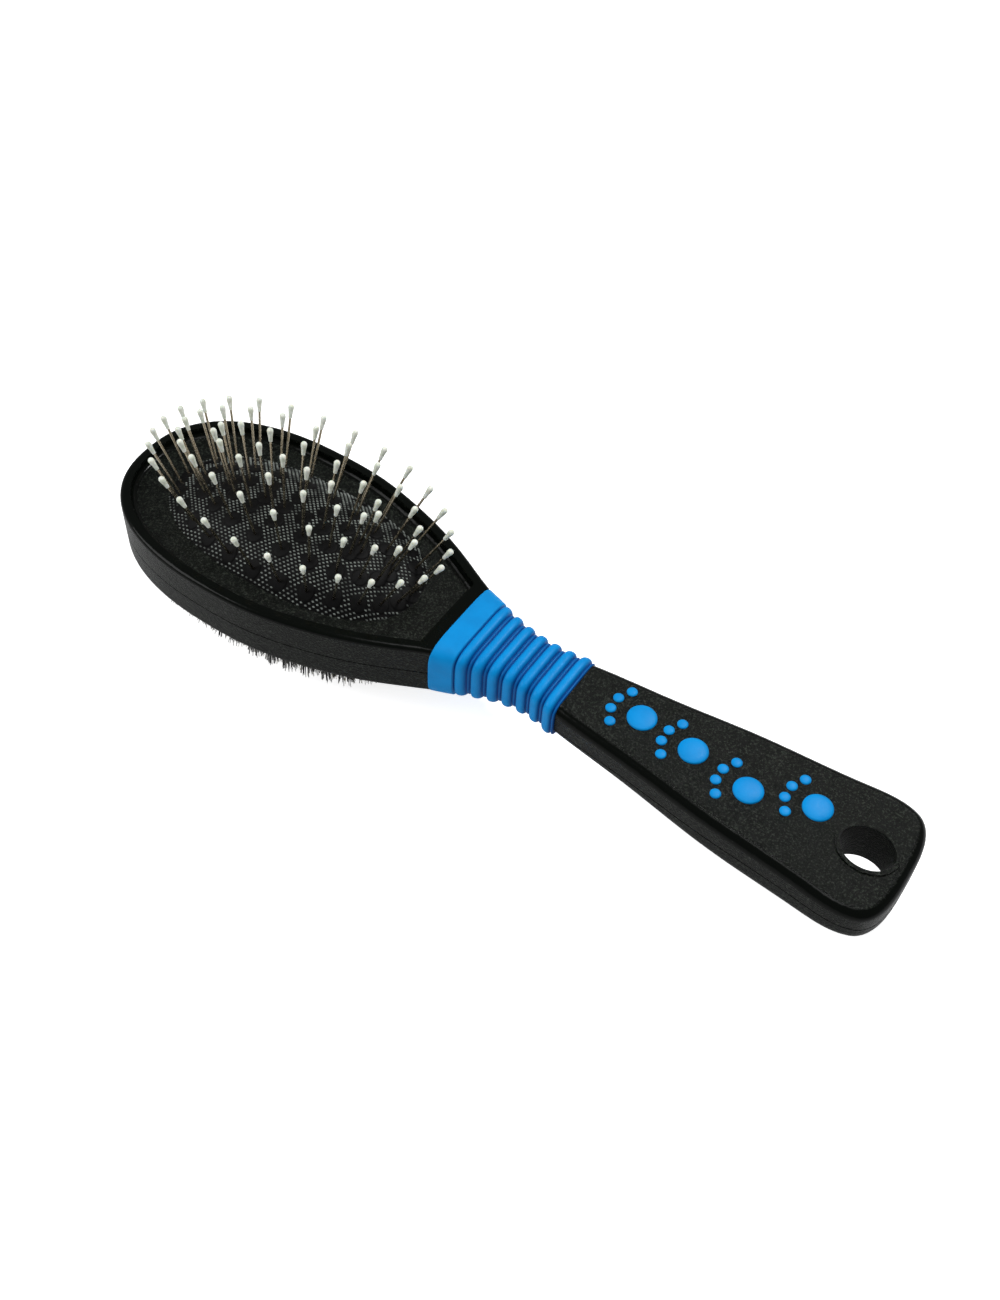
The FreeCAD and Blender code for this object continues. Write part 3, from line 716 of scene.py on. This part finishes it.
# ---- Bristles -----------------------------------------------------------------------------
# Nylon filaments, folded in half and anchored in the plate's holes. The outer ring is short and
# black; the inner rings are longer, cream, and splay where they meet the ground.
fibre_sides = 4
fibre_bends = 3
filament_width = 0.22 * mm
black_nylon, black_fibre, black_nylon_shader = new_finish("black_nylon", (0.010, 0.010, 0.009), 0.38)
black_gloss = ramp(black_fibre, noise(black_fibre, 0.5 * mm), 0.3, 0.7, 0.30, 0.50)
black_fibre.links.new(black_gloss, black_nylon_shader.inputs["Roughness"])
cream_nylon, cream_fibre, cream_nylon_shader = new_finish("cream_nylon", (0.80, 0.76, 0.60), 0.40)
cream_tint = cream_fibre.nodes.new("ShaderNodeMix")
cream_tint.data_type = "RGBA"
cream_tint.inputs["A"].default_value = (0.50, 0.46, 0.34, 1)
cream_tint.inputs["B"].default_value = (0.74, 0.71, 0.60, 1)
cream_cloud = ramp(cream_fibre, noise(cream_fibre, 0.7 * mm), 0.35, 0.65)
cream_fibre.links.new(cream_cloud, cream_tint.inputs["Factor"])
cream_fibre.links.new(cream_tint.outputs["Result"], cream_nylon_shader.inputs["Base Color"])

tree = bpy.data.node_groups.new("filaments", "GeometryNodeTree")
tree.interface.new_socket("Geometry", in_out="OUTPUT", socket_type="NodeSocketGeometry")
for socket_name, socket_type in (("Geometry", "Geometry"), ("Filament", "Object"), ("Per Tuft", "Int"),
                                 ("Tuft Radius", "Float"), ("Length", "Float"), ("Length Spread", "Float"),
                                 ("Splay", "Float"), ("Outward", "Float"), ("Centre", "Vector"),
                                 ("Stray", "Float"), ("Seed", "Int"), ("Material", "Material")):
    tree.interface.new_socket(socket_name, in_out="INPUT", socket_type="NodeSocket" + socket_type)
entry = tree.nodes.new("NodeGroupInput")
leave = tree.nodes.new("NodeGroupOutput")


def random_value(data_type, low, high, seed_shift):
    node = tree.nodes.new("FunctionNodeRandomValue")
    node.data_type = data_type
    wanted = [s for s in node.inputs if s.enabled]
    for socket, value in zip(wanted, (low, high)):
        if isinstance(value, (int, float, tuple)):
            socket.default_value = value
        else:
            tree.links.new(value, socket)
    tree.links.new(tree_math("ADD", entry.outputs["Seed"], seed_shift), wanted[-1])
    return [s for s in node.outputs if s.enabled][0]


many = tree.nodes.new("GeometryNodeDuplicateElements")
many.domain = "POINT"
tree.links.new(entry.outputs["Geometry"], many.inputs["Geometry"])
tree.links.new(entry.outputs["Per Tuft"], many.inputs["Amount"])
heading = random_value("FLOAT", 0.0, 2 * math.pi, 1)
spread = tree_math("SQRT", random_value("FLOAT", 0.0, 1.0, 2))
step_out = tree_math("MULTIPLY", spread, entry.outputs["Tuft Radius"])
offset = tree.nodes.new("ShaderNodeCombineXYZ")
tree.links.new(tree_math("MULTIPLY", step_out, tree_math("COSINE", heading)), offset.inputs["X"])
tree.links.new(tree_math("MULTIPLY", step_out, tree_math("SINE", heading)), offset.inputs["Y"])
shift = tree.nodes.new("GeometryNodeSetPosition")
tree.links.new(many.outputs["Geometry"], shift.inputs["Geometry"])
tree.links.new(offset.outputs[0], shift.inputs["Offset"])
from_centre = tree.nodes.new("ShaderNodeVectorMath")
from_centre.operation = "SUBTRACT"
outward_way = tree.nodes.new("ShaderNodeVectorMath")
outward_way.operation = "NORMALIZE"
tree.links.new(from_centre.outputs[0], outward_way.inputs[0])
own_place = tree.nodes.new("GeometryNodeInputPosition")
tree.links.new(own_place.outputs[0], from_centre.inputs[0])
tree.links.new(entry.outputs["Centre"], from_centre.inputs[1])
centre_parts = tree.nodes.new("ShaderNodeSeparateXYZ")
tree.links.new(outward_way.outputs[0], centre_parts.inputs[0])
outward_x = tree_math("MULTIPLY", entry.outputs["Outward"], centre_parts.outputs["X"])
outward_y = tree_math("MULTIPLY", entry.outputs["Outward"], centre_parts.outputs["Y"])
lean = tree.nodes.new("ShaderNodeCombineXYZ")
splay = tree_math("MULTIPLY", spread, entry.outputs["Splay"])
stray_x = tree_math("MULTIPLY", entry.outputs["Stray"], random_value("FLOAT", -1.0, 1.0, 3))
stray_y = tree_math("MULTIPLY", entry.outputs["Stray"], random_value("FLOAT", -1.0, 1.0, 4))
stray_x = tree_math("ADD", stray_x, outward_x)
stray_y = tree_math("ADD", stray_y, outward_y)
tree.links.new(tree_math("ADD", tree_math("MULTIPLY", splay, tree_math("COSINE", heading)), stray_x),
               lean.inputs["X"])
tree.links.new(tree_math("ADD", tree_math("MULTIPLY", splay, tree_math("SINE", heading)), stray_y),
               lean.inputs["Y"])
lean.inputs["Z"].default_value = -1.0
aim = tree.nodes.new("FunctionNodeAlignRotationToVector")
aim.axis = "Z"
tree.links.new(lean.outputs[0], aim.inputs["Vector"])
tall = tree_math("SUBTRACT", entry.outputs["Length"],
                 tree_math("MULTIPLY", entry.outputs["Length Spread"], random_value("FLOAT", 0.0, 1.0, 5)))
scale = tree.nodes.new("ShaderNodeCombineXYZ")
scale.inputs["X"].default_value = 1.0
scale.inputs["Y"].default_value = 1.0
tree.links.new(tall, scale.inputs["Z"])
filament_info = tree.nodes.new("GeometryNodeObjectInfo")
tree.links.new(entry.outputs["Filament"], filament_info.inputs["Object"])
grow = tree.nodes.new("GeometryNodeInstanceOnPoints")
tree.links.new(shift.outputs["Geometry"], grow.inputs["Points"])
tree.links.new(filament_info.outputs["Geometry"], grow.inputs["Instance"])
tree.links.new(aim.outputs["Rotation"], grow.inputs["Rotation"])
tree.links.new(scale.outputs[0], grow.inputs["Scale"])
real = tree.nodes.new("GeometryNodeRealizeInstances")
tree.links.new(grow.outputs["Instances"], real.inputs["Geometry"])
paint = tree.nodes.new("GeometryNodeSetMaterial")
tree.links.new(real.outputs["Geometry"], paint.inputs["Geometry"])
tree.links.new(entry.outputs["Material"], paint.inputs["Material"])
tree.links.new(paint.outputs["Geometry"], leave.inputs["Geometry"])
filaments = tree

filament_vertices = []
for bend in range(fibre_bends + 1):
    share = bend / fibre_bends
    sway = 0.22 * mm * share ** 2
    radius = filament_width / 2 * (1 - 0.25 * share)
    for side in range(fibre_sides):
        turn = 2 * math.pi * side / fibre_sides
        filament_vertices.append((sway + radius * math.cos(turn), radius * math.sin(turn), share))
filament_faces = [tuple(reversed(range(fibre_sides)))]
for bend in range(fibre_bends):
    for side in range(fibre_sides):
        a = bend * fibre_sides + side
        b = bend * fibre_sides + (side + 1) % fibre_sides
        filament_faces.append((a, b, b + fibre_sides, a + fibre_sides))
filament_faces.append(tuple(range(fibre_bends * fibre_sides, (fibre_bends + 1) * fibre_sides)))
filament = mesh_piece("filament", filament_vertices, filament_faces, cream_nylon)

plate_low, plate_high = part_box("bristle_plate")
tuft_gap = 3.0 * mm             # tufts are never nearer to each other than this
root_reach = 2.2 * mm
outward_lean = (0.22, 0.58, 0.44, 0.20, 0.06)
for number in range(1, 6):
    node = nodes[f"bristle_ring_{number}"]
    low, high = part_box(node.name)
    points = np.array([v.co for v in node.data.vertices])
    roots = points[points[:, 2] > high.z - 0.01 * mm]
    feet = []
    for point in roots:
        if not any((Vector(point[:2]) - foot).length < tuft_gap for foot in feet):
            feet.append(Vector(point[:2]))
    for index, foot in enumerate(feet):
        gaps = np.hypot(roots[:, 0] - foot.x, roots[:, 1] - foot.y)
        feet[index] = Vector(roots[gaps < root_reach][:, :2].mean(0))
    outer = number == 1
    tuft_height = plate_low.z + 0.4 * mm
    tufts = mesh_piece(f"tufts_{number}", [(f.x, f.y, tuft_height) for f in feet], [], cream_nylon)
    length = plate_low.z - low.z
    run_tree(tufts, filaments, {
        "Filament": filament, "Per Tuft": 72 if outer else 56, "Tuft Radius": 1.05 * mm,
        "Length": 0.98 * length,
        "Length Spread": 1.6 * mm if outer else 1.8 * mm, "Splay": 0.20 if outer else 0.30,
        "Outward": outward_lean[number - 1], "Centre": ((plate_low.x + plate_high.x) / 2, 0, 0),
        "Stray": 0.07 if outer else 0.12, "Seed": number,
        "Material": black_nylon if outer else cream_nylon})
    tufts.data.shade_smooth()
    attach(tufts, "brush_body")
    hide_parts(node.name)
bpy.data.objects.remove(filament)

anchor_metal, anchor, anchor_shader = new_finish("anchor_wire", (0.72, 0.60, 0.36), 0.35)
anchor_shader.inputs["Metallic"].default_value = 1.0
anchor_gloss = ramp(anchor, noise(anchor, 0.4 * mm), 0.3, 0.7, 0.28, 0.45)
anchor.links.new(anchor_gloss, anchor_shader.inputs["Roughness"])
nodes["tuft_anchors"].data.materials.clear()
nodes["tuft_anchors"].data.materials.append(anchor_metal)
